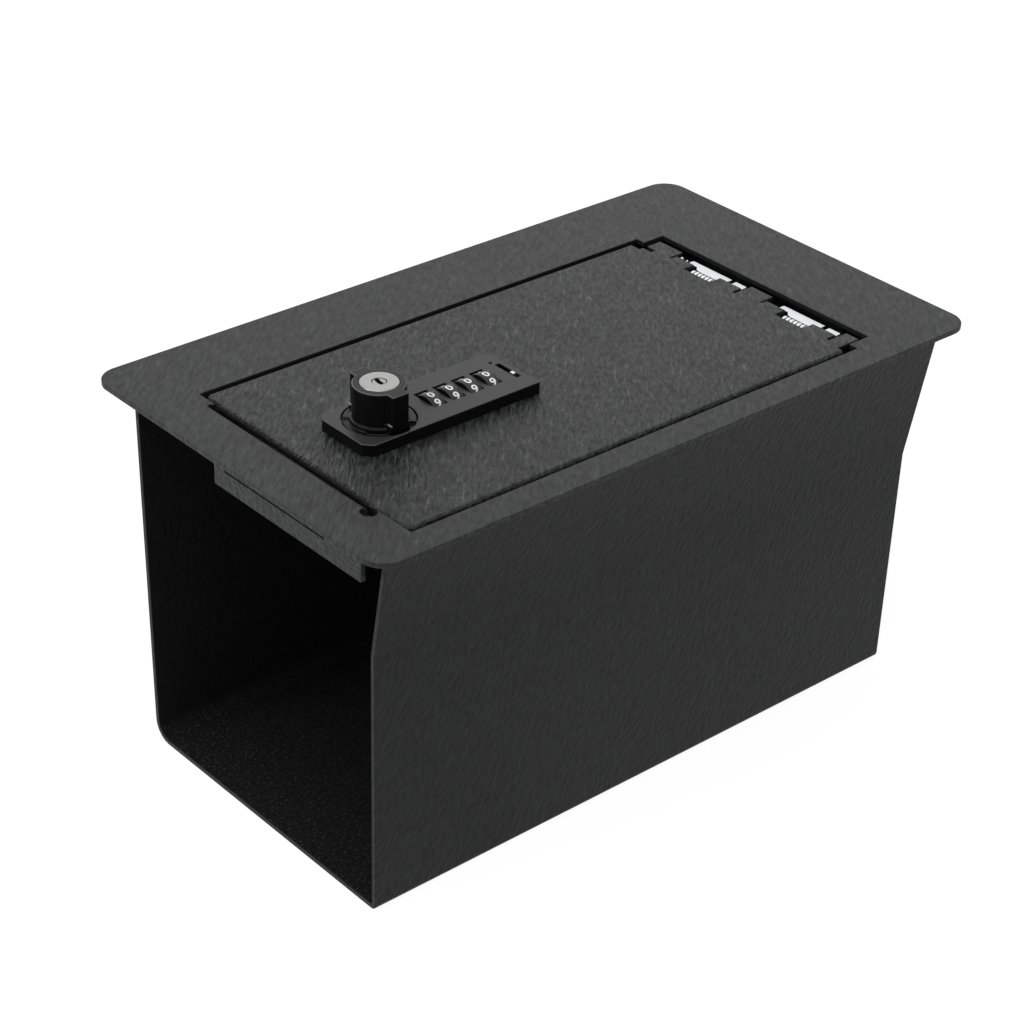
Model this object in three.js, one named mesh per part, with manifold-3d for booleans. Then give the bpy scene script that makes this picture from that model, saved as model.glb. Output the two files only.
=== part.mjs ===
// Console safe: a folded steel box that drops into a vehicle console, with a lockable lid on top.
// Lengths are in millimetres. The model is drawn with x from the front edge of the top plate towards
// the hinges, y towards the far side, and z up from the upper face of the top plate. The last lines
// move it so that the origin is under the middle of the plate, on the underside of the floor.

import * as THREE from 'three';
import { mergeVertices } from 'three/addons/utils/BufferGeometryUtils.js';
import Module from 'manifold-3d';

const wasm = await Module();
wasm.setup();

// Sheet steel and running clearances
const sheet = 2.5;
const fitGap = 0.3;
const runGap = 0.4;
const cutPast = 10;

// Top plate
const plateLength = 352;
const plateWidth = 208;
const plateCornerRadius = 12;

// Opening in the top plate
const openingFrontMargin = 28;
const openingNearMargin = 15.1;
const openingFarMargin = 43.8;
const openingLength = 274.9;
const openingNeckLength = 12.9;
const openingNeckInset = 5.2;

// Lip bent down along the front of the opening, and the flap bent down along the front of the plate
const lipSetback = 1.3;
const lipFar = 48.2;
const lipNear = -65.7;
const lipDrop = 12;
const lipBendRadius = 3;
const lipReliefFar = 1.3;
const lipReliefNear = 3.9;
const flapFar = 9.3;
const flapNear = -91.8;
const flapDrop = 12;
const bendSlitFar = 2.1;
const bendSlitNear = -67.3;
const bendSlitHeight = 0.8;

// Box under the plate
const boxHeight = 182.5;
const boxFrontSetback = 6.2;
const rearWallBottom = 323.4;
const rearWallLean = 0.0278;
const farWallBottom = 75.2;
const farWallLean = 0.0211;
const nearWallBottom = -92.4;
const nearFlareSlope = 0.164;
const nearBendDropFront = 51;
const nearBendSlope = 0.05;
const farFloorRadius = 10;
const nearFloorRadius = 3;
const floorHoleRadius = 3.5;
const floorHoleSpread = 90;
const floorHoleFirst = 150;
const floorHolePitch = 140;

// Lid
const lidFrontGap = 0.4;
const lidSideGap = 2.4;
const lidRearGap = 5.6;
const lidNeckGapNear = 0.8;
const lidNeckGapFar = 4;
const lidEdgeRadius = 1.8;
const lidCornerRadius = 4;
const lidFlangeDrop = 9;
const lidOpenClearance = 0.7;
const lidReliefLength = 6;
const lidReliefWidth = 2.8;
const lidReliefSetback = 2.3;

// Spring hinges
const hingeFromNear = 102.7;
const hingePitch = 62;
const hingeAxisSetback = 14.1;
const hingeLeafThickness = 1;
const hingeLeafReach = 26;
const hingeLeafTail = 4.3;
const hingeNotchSetback = 10.9;
const hingeNotchFar = 21;
const coilNotchFar = 7.6;
const coilNotchNear = 10.6;
const coilNotchReach = 7;
const leafFar = 14.6;
const leafNear = 22.5;
const leafStripWidth = 3.5;
const leafShoulderFar = 5;
const leafShoulderNear = 1.4;
const earThickness = 1.4;
const earRadius = 2.4;
const bracketEarThickness = 2;
const bracketSlot = 2.8;
const bracketSlotNear = 15.1;
const bracketDrop = 13;
const bracketReach = 20;
const bracketFlange = 8;
const bracketEarFoot = 8;
const pinRadius = 1.1;
const clipThickness = 0.8;
const clipRadius = 2.4;
const studRadius = 1.9;
const studHeight = 5.7;
const nutAcrossFlats = 7;
const nutHeight = 3.2;
const studOffsets = [7, -14];
const studSetIn = 6.5;
const reliefSlotOffset = -25.9;
const reliefSlotWidth = 1.6;
const reliefSlotLength = 6.2;
const farSlitWidth = 1.1;
const farSlitLength = 3.4;

// Torsion springs
const springMeanRadius = 2.85;
const springWireRadius = 0.75;
const springPitch = 2.36;
const springWholeTurns = 6;
const springShift = -0.7;
const springLidLeg = 14;
const springStepsPerTurn = 8;
const springSides = 5;

// Lock plate on the lid
const lockSetback = 22.1;
const lockLength = 96.4;
const lockWidth = 36;
const lockHeight = 5.7;
const lockChamfer = 4;
const lockFromNear = 75.1;
const lockSkin = 1.3;
const lockRail = 5.6;
const ringRadius = 16.7;
const ringDepth = 2.2;
const ringFloor = 1.1;

// Number wheels
const wheelCount = 4;
const wheelFirst = 48.7;
const wheelPitch = 10.43;
const wheelRadius = 9.1;
const wheelWidth = 6.4;
const wheelRise = 1.9;
const windowWidth = 7.2;
const windowLength = 14.6;
const axleRadius = 1.5;
const gripNotches = 20;
const gripDepth = 0.35;

// Code-change slider
const sliderSetback = 4.1;
const slotWidth = 2.4;
const slotFar = 6.7;
const slotNear = 8.3;
const sliderStart = -4.1;
const sliderButton = 2.4;
const sliderRise = 0.5;
const slotStep = 0.8;
const pinholeRadius = 0.8;
const pinholeSetIn = 1.6;
const pinholeSpread = 2.8;

// Knob and key cylinder
const knobSetback = 20.4;
const knobBossRadius = 12;
const knobBarLength = 30.4;
const knobBarWidth = 8.8;
const knobFootLength = 30;
const knobFootWidth = 10.8;
const knobFootHeight = 3.1;
const knobCollarRadius = 13;
const knobCollarHeight = 1.1;
const knobHeight = 17.5;
const knobFlangeThickness = 0.5;
const knobWindowRise = 0.6;
const knobSectorRise = 1.4;
const knobSectorNear = -0.28;
const knobSectorFar = 0.78;
const knobWindowEnd = 1.15;
const knobNeckRadius = 7;
const keyRadius = 8.85;
const keyDepth = 13;
const keyProud = 0.3;
const plugRadius = 3.1;
const plugSetback = 0.3;
const keyholeLength = 4.9;
const keyholeWidth = 1.7;

// Lock body under the lid, and the latch
const barrelRadius = 12;
const barrelDrop = 11.7;
const wheelBlockWidth = 24.4;
const wheelBlockFront = 8;
const wheelBlockRear = 3.2;
const wheelBlockFloor = 1.8;
const spindleRadius = 5;
const spindleSquare = 6.4;
const latchLength = 53;
const latchWidth = 14;
const latchThickness = 3;
const latchTipLength = 5;
const latchTipCut = 3;
const latchWasherRadius = 8;
const latchScrewHeadRadius = 5.2;
const latchScrewHeadHeight = 2.4;
const latchScrewHexagon = 3;
const latchDropBelowLip = 0.6;
const screwRadius = 1.5;
const screwHeadRadius = 2.8;
const screwHeadHeight = 2;
const screwHexagon = 2;
const screwHexagonDepth = 1.2;

// Values that follow from the sizes above
const plateNear = -plateWidth / 2;
const plateFar = plateWidth / 2;
const openFront = openingFrontMargin;
const openRear = openFront + openingLength;
const openNear = plateNear + openingNearMargin;
const openFar = plateFar - openingFarMargin;
const neckFront = openRear - openingNeckLength;
const axisX = openRear - hingeAxisSetback;
const axisZ = -(sheet + hingeLeafThickness + fitGap + pinRadius);
const lidFront = openFront + lidFrontGap;
const lidNear = openNear + lidSideGap;
const lidFar = openFar - lidSideGap;
const lidRear = openRear - lidRearGap;
const lipFace = openFront - lipSetback;
const lidShoulder = Math.min(axisX + axisZ - lidOpenClearance, neckFront - lidOpenClearance);
const tongueNear = openNear + openingNeckInset + lidNeckGapNear;
const tongueFar = openFar - openingNeckInset - lidNeckGapFar;
const hingeFirst = openNear + hingeFromNear;
const hingePlaces = [hingeFirst, hingeFirst - hingePitch];
const lockCentre = openNear + lockFromNear;
const lockFront = openFront + lockSetback;
const lockRear = lockFront + lockLength;
const knobX = lockFront + knobSetback;
const wheelPlaces = Array.from({ length: wheelCount }, (_, i) => lockFront + wheelFirst + i * wheelPitch);
const wheelAxisZ = lockHeight + wheelRise - wheelRadius;
const blockFront = wheelPlaces[0] - windowWidth / 2 - wheelBlockFront;
const blockRear = wheelPlaces[wheelCount - 1] + windowWidth / 2 + wheelBlockRear;
const blockBottom = wheelAxisZ - wheelRadius - fitGap - wheelBlockFloor;
const latchTop = -(lipDrop + latchDropBelowLip);
const latchBottom = latchTop - latchThickness;

// Materials
const coated = new THREE.MeshStandardMaterial({ color: 0x2b2b2c, roughness: 0.55, metalness: 0.1 });
const zinc = new THREE.MeshStandardMaterial({ color: 0xd9dadb, roughness: 0.3, metalness: 0.9 });
const springSteel = new THREE.MeshStandardMaterial({ color: 0xe4e4e2, roughness: 0.25, metalness: 0.9 });
const lockBlack = new THREE.MeshStandardMaterial({ color: 0x232324, roughness: 0.4, metalness: 0.3 });
const wheelBlack = new THREE.MeshStandardMaterial({ color: 0x1d1d1e, roughness: 0.45, metalness: 0.0 });
const satinNickel = new THREE.MeshStandardMaterial({ color: 0xb9b9b8, roughness: 0.35, metalness: 0.9 });
const castGrey = new THREE.MeshStandardMaterial({ color: 0x8b8c8e, roughness: 0.5, metalness: 0.8 });

// Shape helpers
function solidOf(geometry) {
  geometry.deleteAttribute('normal');
  geometry.deleteAttribute('uv');
  const merged = mergeVertices(geometry, 1e-4);
  const points = new Float32Array(merged.attributes.position.array);
  const corners = new Uint32Array(merged.index.array);
  return new wasm.Manifold(new wasm.Mesh({ numProp: 3, vertProperties: points, triVerts: corners }));
}

function meshOf(name, solid, material) {
  const result = solid.getMesh();
  const geometry = new THREE.BufferGeometry();
  geometry.setAttribute('position', new THREE.BufferAttribute(new Float32Array(result.vertProperties), 3));
  geometry.setIndex(new THREE.BufferAttribute(new Uint32Array(result.triVerts), 1));
  geometry.computeVertexNormals();
  const mesh = new THREE.Mesh(geometry, material);
  mesh.name = name;
  return mesh;
}

function box(x0, x1, y0, y1, z0, z1) {
  const geometry = new THREE.BoxGeometry(x1 - x0, y1 - y0, z1 - z0);
  geometry.translate((x0 + x1) / 2, (y0 + y1) / 2, (z0 + z1) / 2);
  return solidOf(geometry);
}

function shapeOf(points) {
  return new THREE.Shape(points.map(([a, b]) => new THREE.Vector2(a, b)));
}

// Outline in x and y, from z0 up to z1
function slab(shape, z0, z1, segments = 6) {
  const options = { depth: z1 - z0, bevelEnabled: false, curveSegments: segments };
  const geometry = new THREE.ExtrudeGeometry(shape, options);
  geometry.translate(0, 0, z0);
  return solidOf(geometry);
}

// Outline in x and z, from y0 to y1
function sideProfile(points, y0, y1) {
  const geometry = new THREE.ExtrudeGeometry(shapeOf(points), { depth: y1 - y0, bevelEnabled: false });
  geometry.rotateX(Math.PI / 2);
  geometry.translate(0, y1, 0);
  return solidOf(geometry);
}

function post(x, y, z0, z1, radius, segments = 24) {
  const geometry = new THREE.CylinderGeometry(radius, radius, z1 - z0, segments);
  geometry.rotateX(Math.PI / 2);
  geometry.translate(x, y, (z0 + z1) / 2);
  return solidOf(geometry);
}

function rodAlongX(x0, x1, y, z, radius, segments = 16) {
  const geometry = new THREE.CylinderGeometry(radius, radius, x1 - x0, segments);
  geometry.rotateZ(Math.PI / 2);
  geometry.translate((x0 + x1) / 2, y, z);
  return solidOf(geometry);
}

function rodAlongY(x, y0, y1, z, radius, segments = 16) {
  const geometry = new THREE.CylinderGeometry(radius, radius, y1 - y0, segments);
  geometry.translate(x, (y0 + y1) / 2, z);
  return solidOf(geometry);
}

function roundedRectangle(x0, x1, y0, y1, radius) {
  const shape = new THREE.Shape();
  shape.moveTo(x0 + radius, y0);
  shape.lineTo(x1 - radius, y0);
  shape.absarc(x1 - radius, y0 + radius, radius, -Math.PI / 2, 0, false);
  shape.lineTo(x1, y1 - radius);
  shape.absarc(x1 - radius, y1 - radius, radius, 0, Math.PI / 2, false);
  shape.lineTo(x0 + radius, y1);
  shape.absarc(x0 + radius, y1 - radius, radius, Math.PI / 2, Math.PI, false);
  shape.lineTo(x0, y0 + radius);
  shape.absarc(x0 + radius, y0 + radius, radius, Math.PI, 1.5 * Math.PI, false);
  return shape;
}

function arcPoints(cx, cy, radius, from, to, steps) {
  return Array.from({ length: steps + 1 }, (_, i) => {
    const angle = from + ((to - from) * i) / steps;
    return [cx + radius * Math.cos(angle), cy + radius * Math.sin(angle)];
  });
}

// Moves an open line of points sideways by a distance, with mitred corners
function offsetLine(points, distance) {
  const normals = points.slice(1).map(([a, b], i) => {
    const run = [a - points[i][0], b - points[i][1]];
    const length = Math.hypot(run[0], run[1]);
    return [run[1] / length, -run[0] / length];
  });
  return points.map(([a, b], i) => {
    const before = normals[Math.max(i - 1, 0)];
    const after = normals[Math.min(i, normals.length - 1)];
    const mitre = 1 + before[0] * after[0] + before[1] * after[1];
    const moveA = (before[0] + after[0]) / mitre;
    const moveB = (before[1] + after[1]) / mitre;
    return [a + distance * moveA, b + distance * moveB];
  });
}

// Joins two outlines in y and z, with as many points each, along x
function loft(outlineA, xa, outlineB, xb) {
  const count = outlineA.length;
  const positions = [];
  outlineA.forEach(([y, z]) => positions.push(xa, y, z));
  outlineB.forEach(([y, z]) => positions.push(xb, y, z));
  const contour = outlineA.map(([y, z]) => new THREE.Vector2(y, z));
  const caps = THREE.ShapeUtils.triangulateShape(contour, []);
  const windsLeft = THREE.ShapeUtils.area(contour) > 0;
  const corners = [];
  const addFace = (a, b, c) => corners.push(...(windsLeft ? [a, b, c] : [a, c, b]));
  for (let i = 0; i < count; i += 1) {
    const j = (i + 1) % count;
    addFace(i, j, count + j);
    addFace(i, count + j, count + i);
  }
  caps.forEach(([a, b, c]) => {
    corners.push(a, c, b);
    corners.push(count + a, count + b, count + c);
  });
  const geometry = new THREE.BufferGeometry();
  geometry.setAttribute('position', new THREE.BufferAttribute(new Float32Array(positions), 3));
  geometry.setIndex(corners);
  return solidOf(geometry);
}

// Line of the box's outer skin at a distance x: far wall, floor, near wall, flared near top
function skinLine(x) {
  const bottom = -boxHeight;
  const extra = 3;
  const farTopY = farWallBottom + farWallLean * (boxHeight + extra);
  const lean = Math.atan(farWallLean);
  const setIn = farFloorRadius * Math.tan((Math.PI / 2 - lean) / 2);
  const farArc = arcPoints(farWallBottom - setIn, bottom + farFloorRadius, farFloorRadius,
    -lean, -Math.PI / 2, 5);
  const nearArc = arcPoints(nearWallBottom + nearFloorRadius, bottom + nearFloorRadius, nearFloorRadius,
    -Math.PI / 2, -Math.PI, 3);
  const bendZ = -(nearBendDropFront + nearBendSlope * (x - boxFrontSetback));
  const nearTopY = nearWallBottom - nearFlareSlope * (extra - bendZ);
  return [[farTopY, extra], ...farArc, ...nearArc, [nearWallBottom, bendZ], [nearTopY, extra]];
}

function rearFaceX(z) {
  return rearWallBottom + rearWallLean * (z + boxHeight);
}

// Folded box: far wall, floor and near wall in one sheet, open at the front
function bodyShell() {
  const reach = rearFaceX(0) + 2 * cutPast;
  const sheetOutline = (x) => {
    const outer = skinLine(x);
    return [...outer, ...offsetLine(outer, sheet).reverse()];
  };
  const full = loft(sheetOutline(boxFrontSetback), boxFrontSetback, sheetOutline(reach), reach);
  const end = reach + cutPast;
  const above = box(-cutPast, end, -plateWidth, plateWidth, -sheet, cutPast);
  const low = -boxHeight - cutPast;
  const behindOutline = [[rearFaceX(low), low], [end, low], [end, cutPast], [rearFaceX(cutPast), cutPast]];
  const behind = sideProfile(behindOutline, -plateWidth, plateWidth);
  let shell = full.subtract(above).subtract(behind);
  for (const side of [-1, 1]) {
    for (const row of [0, 1]) {
      const x = floorHoleFirst + row * floorHolePitch;
      const y = (side * floorHoleSpread) / 2;
      shell = shell.subtract(post(x, y, low, -boxHeight + cutPast, floorHoleRadius, 16));
    }
  }
  return meshOf('body_shell', shell, coated);
}

// Rear wall welded between the walls of the folded box
function rearWall() {
  const reach = rearFaceX(0) + 2 * cutPast;
  const inner = (x) => offsetLine(skinLine(x), sheet + fitGap);
  const room = loft(inner(boxFrontSetback), boxFrontSetback, inner(reach), reach);
  const low = -boxHeight;
  const band = [[rearFaceX(low) - sheet, low], [rearFaceX(low), low],
    [rearFaceX(-sheet), -sheet], [rearFaceX(-sheet) - sheet, -sheet]];
  return meshOf('rear_wall', room.intersect(sideProfile(band, -plateWidth, plateWidth)), coated);
}

// Top plate with the lid opening, the lip that the latch hooks under, and the front flap
function topPlate() {
  const outline = roundedRectangle(0, plateLength, plateNear, plateFar, plateCornerRadius);
  const hole = new THREE.Path([
    [openFront, openNear], [neckFront, openNear], [neckFront, openNear + openingNeckInset],
    [openRear, openNear + openingNeckInset], [openRear, openFar - openingNeckInset],
    [neckFront, openFar - openingNeckInset], [neckFront, openFar], [openFront, openFar],
  ].map(([x, y]) => new THREE.Vector2(x, y)));
  outline.holes.push(hole);
  let plate = slab(outline, -sheet, 0, 8);
  const lipBack = lipFace - lipBendRadius;
  plate = plate.subtract(box(lipBack, openFront + 1, lipNear, lipFar, -sheet - 1, 1));
  const outerBend = arcPoints(lipBack, -lipBendRadius, lipBendRadius, Math.PI / 2, 0, 5);
  const innerBend = arcPoints(lipBack, -lipBendRadius, lipBendRadius - sheet, 0, Math.PI / 2, 2);
  const lipProfile = [[lipBack - 1, 0], ...outerBend, [lipFace, -lipDrop],
    [lipFace - sheet, -lipDrop], ...innerBend, [lipBack - 1, -sheet]];
  plate = plate.add(sideProfile(lipProfile, lipNear, lipFar));
  for (const [y, radius] of [[lipNear, lipReliefNear], [lipFar, lipReliefFar]]) {
    const x = lipFace - 0.6 * radius;
    plate = plate.subtract(post(x, y, -lipBendRadius - 0.6, 1, radius, 20));
    plate = plate.subtract(box(x, openFront + 1, y - fitGap, y + fitGap, -lipBendRadius - 1, 1));
  }
  plate = plate.add(box(0, sheet, flapNear, flapFar, -flapDrop, -sheet / 2));
  const slitTop = -sheet - 0.1;
  plate = plate.subtract(box(-1, sheet + 1, bendSlitNear, bendSlitFar, slitTop - bendSlitHeight, slitTop));
  return meshOf('top_plate', plate, coated);
}

// Hollow lid with turned-down edges, a plain rear tongue, and cut-outs for the hinges and lock
function lid() {
  const past = lidShoulder + cutPast;
  const outline = roundedRectangle(lidFront, past, lidNear, lidFar, lidCornerRadius);
  const bevel = { bevelEnabled: true, bevelThickness: lidEdgeRadius, bevelSize: lidEdgeRadius,
    bevelOffset: -lidEdgeRadius, bevelSegments: 3, curveSegments: 4 };
  const depth = lidFlangeDrop;
  const outerGeometry = new THREE.ExtrudeGeometry(outline, { depth, ...bevel });
  outerGeometry.translate(0, 0, -lidEdgeRadius - depth);
  const innerRadius = lidCornerRadius - sheet;
  const room = roundedRectangle(lidFront + sheet, past + 2 * cutPast, lidNear + sheet, lidFar - sheet,
    innerRadius);
  let pan = solidOf(outerGeometry);
  const low = -lidFlangeDrop - cutPast;
  pan = pan.subtract(slab(room, low, -sheet, 3));
  pan = pan.subtract(box(0, plateLength, plateNear, plateFar, low, -lidFlangeDrop));
  pan = pan.subtract(box(lidShoulder, past + cutPast, plateNear, plateFar, low, cutPast));
  pan = pan.add(box(lidShoulder - cutPast, lidRear, tongueNear, tongueFar, -sheet, 0));
  const reliefFront = lidShoulder + lidReliefSetback;
  pan = pan.subtract(box(reliefFront, reliefFront + lidReliefWidth, tongueFar - lidReliefLength,
    tongueFar + 1, -sheet - 1, 1));
  const notchFront = openRear - hingeNotchSetback;
  hingePlaces.forEach((y) => {
    const slotNear = y + reliefSlotOffset - reliefSlotWidth / 2;
    pan = pan.subtract(box(notchFront, lidRear + 1, slotNear, y + hingeNotchFar, -sheet - 1, 1));
    pan = pan.subtract(box(notchFront - coilNotchReach, notchFront + 1, y - coilNotchNear, y + coilNotchFar,
      -sheet - 1, 1));
    pan = pan.subtract(box(notchFront - reliefSlotLength, notchFront + 1, slotNear,
      slotNear + reliefSlotWidth, -sheet - 1, 1));
    pan = pan.subtract(box(notchFront - farSlitLength, notchFront + 1, y + hingeNotchFar - farSlitWidth,
      y + hingeNotchFar, -sheet - 1, 1));
  });
  pan = pan.subtract(lockCutout(fitGap, -sheet - 1, 1));
  lockScrewPlaces().forEach(([x, y]) => {
    pan = pan.subtract(post(x, y, -sheet - 1, 1, screwRadius + fitGap, 12));
  });
  return meshOf('lid', pan, coated);
}

function springHalfLength() {
  const startAngle = springLegAngle();
  const turns = springWholeTurns + 0.5 - startAngle / (2 * Math.PI);
  return (turns * springPitch) / 2;
}

// Angle at which the leg that lies under the lid leaves the coil
function springLegAngle() {
  const legEnd = springLegEnd();
  const reach = Math.hypot(legEnd[0], legEnd[1]);
  return Math.atan2(legEnd[1], legEnd[0]) + Math.acos(springMeanRadius / reach);
}

// End of that leg, beside the underside of the hinge leaf
function springLegEnd() {
  const leafUnder = -sheet - hingeLeafThickness - axisZ;
  return [-springLidLeg, leafUnder - springWireRadius - fitGap];
}

// One unbroken wire: leg under the lid, coil round the pin, leg down to the bracket
function springWirePoints(y) {
  const startAngle = springLegAngle();
  const endAngle = Math.PI + 2 * Math.PI * springWholeTurns;
  const half = springHalfLength();
  const steps = Math.round(((endAngle - startAngle) / (2 * Math.PI)) * springStepsPerTurn);
  const legEnd = springLegEnd();
  const middle = y + springShift;
  const points = [new THREE.Vector3(axisX + legEnd[0], middle + half, axisZ + legEnd[1])];
  for (let i = 0; i <= steps; i += 1) {
    const angle = startAngle + ((endAngle - startAngle) * i) / steps;
    const along = middle + half - (2 * half * i) / steps;
    points.push(new THREE.Vector3(axisX + springMeanRadius * Math.cos(angle), along,
      axisZ + springMeanRadius * Math.sin(angle)));
  }
  const bracketTop = axisZ - bracketDrop + bracketEarThickness + fitGap;
  points.push(new THREE.Vector3(axisX - springMeanRadius, middle - half, bracketTop));
  return points;
}

// Sweeps a round wire with flat ends along points
function wireSolid(points, radius, sides) {
  const directions = points.map((p, i) => {
    const before = points[Math.max(i - 1, 0)];
    const after = points[Math.min(i + 1, points.length - 1)];
    return after.clone().sub(before).normalize();
  });
  let across = new THREE.Vector3(0, 1, 0);
  const positions = [];
  points.forEach((p, i) => {
    const direction = directions[i];
    across = across.clone().addScaledVector(direction, -across.dot(direction)).normalize();
    const third = direction.clone().cross(across);
    for (let s = 0; s < sides; s += 1) {
      const angle = (2 * Math.PI * s) / sides;
      const corner = p.clone()
        .addScaledVector(across, radius * Math.cos(angle))
        .addScaledVector(third, radius * Math.sin(angle));
      positions.push(corner.x, corner.y, corner.z);
    }
  });
  const corners = [];
  for (let i = 0; i < points.length - 1; i += 1) {
    for (let s = 0; s < sides; s += 1) {
      const t = (s + 1) % sides;
      const a = i * sides;
      const b = a + sides;
      corners.push(a + s, a + t, b + t);
      corners.push(a + s, b + t, b + s);
    }
  }
  const last = (points.length - 1) * sides;
  for (let s = 1; s < sides - 1; s += 1) {
    corners.push(0, s + 1, s);
    corners.push(last, last + s, last + s + 1);
  }
  const geometry = new THREE.BufferGeometry();
  geometry.setAttribute('position', new THREE.BufferAttribute(new Float32Array(positions), 3));
  geometry.setIndex(corners);
  return solidOf(geometry);
}

// Smallest space between two stretches of the wire that lie at least half a turn apart
function leastWireGap(points, radius) {
  let least = Infinity;
  const apart = springStepsPerTurn / 2;
  points.forEach((p, i) => {
    for (let j = i + apart; j < points.length - 1; j += 1) {
      const line = new THREE.Line3(points[j], points[j + 1]);
      const nearest = line.closestPointToPoint(p, true, new THREE.Vector3());
      least = Math.min(least, nearest.distanceTo(p) - 2 * radius);
    }
  });
  return least;
}

function hexPoints(x, y, acrossFlats) {
  const radius = acrossFlats / Math.sqrt(3);
  return arcPoints(x, y, radius, 0, (5 * Math.PI) / 3, 5);
}

// Ear that carries the pin: a rounded tongue hanging from a flat leaf
function leafEar(y0, y1) {
  const top = -sheet - hingeLeafThickness / 2;
  const round = arcPoints(axisX, axisZ, earRadius, Math.PI, 2 * Math.PI, 8);
  return sideProfile([...round, [axisX + earRadius, top], [axisX - earRadius, top]], y0, y1);
}

// Spring hinge: leaf under the lid, bracket under the plate, pin, two clips, spring and two nuts
function hinge(y, label) {
  const leafTop = -sheet;
  const leafBottom = leafTop - hingeLeafThickness;
  const leafRear = openRear - hingeLeafTail;
  const leafOutline = roundedRectangle(axisX - hingeLeafReach, leafRear, y - leafNear, y + leafFar, 1);
  let leaf = slab(leafOutline, leafBottom, leafTop, 3);
  leaf = leaf.add(leafEar(y + leafFar - earThickness, y + leafFar));
  const middleEar = y - bracketSlotNear + bracketSlot;
  leaf = leaf.add(leafEar(middleEar, middleEar + earThickness));
  leaf = leaf.add(leafEar(y - leafNear, y - leafNear + earThickness));
  const coilRoom = springMeanRadius + springWireRadius;
  const coilHalf = springHalfLength() + springWireRadius + runGap;
  const coilFront = axisX - coilRoom;
  const coilRear = axisX + coilRoom;
  const stripFront = leafRear - leafStripWidth;
  const earRoom = y + leafFar - earThickness - leafShoulderNear;
  leaf = leaf.subtract(slab(shapeOf([
    [coilFront, y + springShift - coilHalf], [coilRear, y + springShift - coilHalf],
    [coilRear, y + leafShoulderFar], [coilRear + 0.6, y + leafShoulderFar + 1.8],
    [stripFront, y + leafShoulderFar + 3.6], [stripFront, earRoom], [coilFront, earRoom],
  ]), leafBottom - 1, leafTop + 1));
  leaf = leaf.subtract(box(axisX - earRadius - fitGap, leafRear + 1, y - bracketSlotNear, middleEar,
    leafBottom - 1, leafTop + 1));
  leaf = leaf.subtract(rodAlongY(axisX, y - leafNear - 1, y + leafFar + 1, axisZ, pinRadius + fitGap));
  const studX = axisX - hingeLeafReach + studSetIn;
  studOffsets.forEach((offset) => {
    leaf = leaf.subtract(post(studX, y + offset, leafBottom - 1, leafTop + 1, studRadius + fitGap, 12));
  });

  const floorTop = axisZ - bracketDrop + bracketEarThickness;
  const floorBottom = axisZ - bracketDrop;
  const riser = axisX + bracketReach;
  const earFar = y + leafFar + (bracketSlot - bracketEarThickness) / 2;
  const earNear = y - bracketSlotNear + (bracketSlot - bracketEarThickness) / 2;
  const bracketProfile = [
    [axisX - earRadius - 2, floorBottom], [riser + bracketEarThickness, floorBottom],
    [riser + bracketEarThickness, -sheet - bracketEarThickness],
    [riser + bracketFlange, -sheet - bracketEarThickness], [riser + bracketFlange, -sheet],
    [riser, -sheet], [riser, floorTop], [axisX - earRadius - 2, floorTop],
  ];
  let bracket = sideProfile(bracketProfile, earNear, earFar + bracketEarThickness);
  const eye = arcPoints(axisX, axisZ, earRadius, 0, Math.PI, 8);
  const earProfile = [...eye, [axisX - earRadius, floorTop - 1], [axisX + bracketEarFoot, floorTop - 1],
    [axisX + earRadius - 0.8, floorTop + 3], [axisX + earRadius - 0.8, axisZ - 1.2]];
  for (const start of [earNear, earFar]) {
    bracket = bracket.add(sideProfile(earProfile, start, start + bracketEarThickness));
  }
  bracket = bracket.subtract(rodAlongY(axisX, earNear - cutPast, earFar + cutPast, axisZ, pinRadius + fitGap));

  const pinFar = earFar + bracketEarThickness + fitGap + clipThickness;
  const pinNear = y - leafNear - fitGap - clipThickness;
  const pin = rodAlongY(axisX, pinNear - 0.8, pinFar + 0.8, axisZ, pinRadius);
  const clipBore = rodAlongY(axisX, pinNear - 2, pinFar + 2, axisZ, pinRadius + fitGap);
  const clips = [pinFar - clipThickness, pinNear].map((start) => (
    rodAlongY(axisX, start, start + clipThickness, axisZ, clipRadius).subtract(clipBore)
  ));

  const wire = springWirePoints(y);
  console.log(`${label} spring: least gap in the wire ${leastWireGap(wire, springWireRadius).toFixed(2)} mm`);
  const meshes = [
    meshOf(`${label}_leaf`, leaf, zinc),
    meshOf(`${label}_bracket`, bracket, coated),
    meshOf(`${label}_pin`, pin, zinc),
    meshOf(`${label}_clip_far`, clips[0], zinc),
    meshOf(`${label}_clip_near`, clips[1], zinc),
    meshOf(`${label}_spring`, wireSolid(wire, springWireRadius, springSides), springSteel),
  ];
  studOffsets.forEach((offset, i) => {
    const stud = post(studX, y + offset, -sheet - studHeight, -sheet, studRadius, 12);
    const nut = slab(shapeOf(hexPoints(studX, y + offset, nutAcrossFlats)), leafBottom - nutHeight,
      leafBottom);
    meshes.push(meshOf(`${label}_stud_nut_${i + 1}`, stud.add(nut), zinc));
  });
  return meshes;
}

function lockScrewPlaces() {
  const side = lockWidth / 2 - lockRail / 2;
  const rows = [knobX - barrelRadius + 3, wheelPlaces[wheelCount - 1] + wheelPitch / 2];
  return rows.flatMap((x) => [[x, lockCentre - side], [x, lockCentre + side]]);
}

// Space that the lock body takes, grown by a clearance
function lockCutout(clearance, z0, z1) {
  const half = wheelBlockWidth / 2 + clearance;
  const round = post(knobX, lockCentre, z0, z1, barrelRadius + clearance, 36);
  return round.add(box(knobX, blockRear + clearance, lockCentre - half, lockCentre + half, z0, z1));
}

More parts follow.
